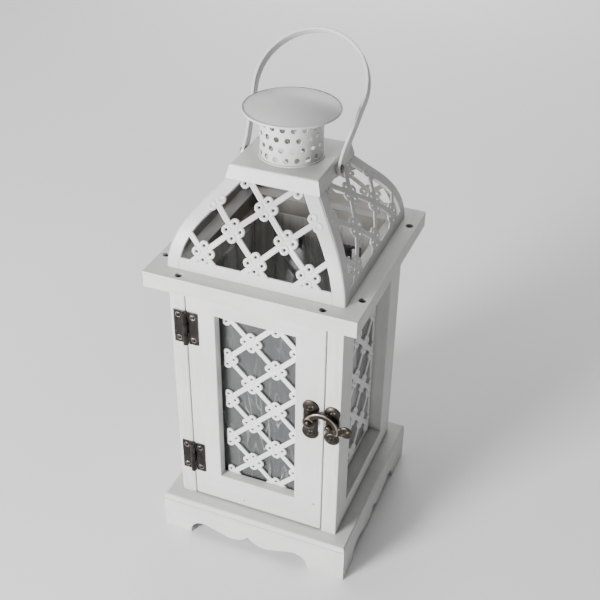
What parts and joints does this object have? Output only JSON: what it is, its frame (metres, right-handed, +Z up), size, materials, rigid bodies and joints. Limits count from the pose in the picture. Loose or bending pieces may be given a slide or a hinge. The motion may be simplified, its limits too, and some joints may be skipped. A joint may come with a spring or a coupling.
{
  "type": "candle lantern",
  "caption": "White candle lantern with a glazed lattice case, hinged latched door, scalloped base, pierced metal roof, vented capped chimney and tilting bail handle.",
  "frame": {"origin": "centre of the square footprint, at the level that the feet stand on", "axes": "+Z up; -Y is the front, where the door is; +X is the door's latch side; the bail tilts back towards +Y"},
  "size_m": [0.157, 0.157, 0.3886],
  "materials": {
    "white_wood": "white paint, satin, with faint wood grain",
    "white_metal": "white enamel on pressed steel sheet, satin",
    "clear_glass": "clear",
    "antique_bronze": "dark antique bronze with worn bright edges",
    "dark_steel": "dark oxide"
  },
  "bodies": {
    "case": {"base_board": "white_wood", "apron_front": "white_wood", "apron_right": "white_wood", "apron_back": "white_wood", "apron_left": "white_wood", "left_front_stile": "white_wood", "left_rear_stile": "white_wood", "left_bottom_rail": "white_wood", "left_top_rail": "white_wood", "right_front_stile": "white_wood", "right_rear_stile": "white_wood", "right_bottom_rail": "white_wood", "right_top_rail": "white_wood", "back_left_stile": "white_wood", "back_right_stile": "white_wood", "back_bottom_rail": "white_wood", "back_top_rail": "white_wood", "left_glass": "clear_glass", "right_glass": "clear_glass", "back_glass": "clear_glass", "left_lattice": "white_metal", "right_lattice": "white_metal", "back_lattice": "white_metal", "roof_board_front": "white_wood", "roof_board_right": "white_wood", "roof_board_back": "white_wood", "roof_board_left": "white_wood", "roof_board_screws": "dark_steel", "roof_panel_front": "white_metal", "roof_panel_right": "white_metal", "roof_panel_back": "white_metal", "roof_panel_left": "white_metal", "roof_collar": "white_metal", "chimney": "white_metal", "chimney_cap": "white_metal", "bail_rivets": "antique_bronze", "upper_hinge_frame_leaf": "antique_bronze", "lower_hinge_frame_leaf": "antique_bronze", "upper_hinge_pin": "antique_bronze", "lower_hinge_pin": "antique_bronze", "frame_hinge_screws": "antique_bronze", "latch_keeper": "antique_bronze", "keeper_screws": "antique_bronze"},
    "door": {"door_hinge_stile": "white_wood", "door_latch_stile": "white_wood", "door_bottom_rail": "white_wood", "door_top_rail": "white_wood", "door_glass": "clear_glass", "door_lattice": "white_metal", "upper_hinge_door_leaf": "antique_bronze", "lower_hinge_door_leaf": "antique_bronze", "door_hinge_screws": "antique_bronze", "latch_plate": "antique_bronze", "latch_plate_screws": "antique_bronze", "latch_rivet": "antique_bronze"},
    "latch": {"latch_arm": "antique_bronze"},
    "bail": {"bail_handle": "white_metal"}
  },
  "joints": [
    {"name": "door_swing", "type": "hinge", "parent": "case", "child": "door", "pos_m": [-0.0536, -0.068, 0.1377], "axis": [0, 0, -1], "range_deg": [0, 170]},
    {"name": "latch_swing", "type": "hinge", "parent": "door", "child": "latch", "pos_m": [0.0433, -0.07015, 0.1453], "axis": [0, -1, 0], "range_deg": [0, 100]},
    {"name": "bail_swing", "type": "hinge", "parent": "case", "child": "bail", "pos_m": [0, 0, 0.3135], "axis": [1, 0, 0], "range_deg": [-50, 130]}
  ]
}
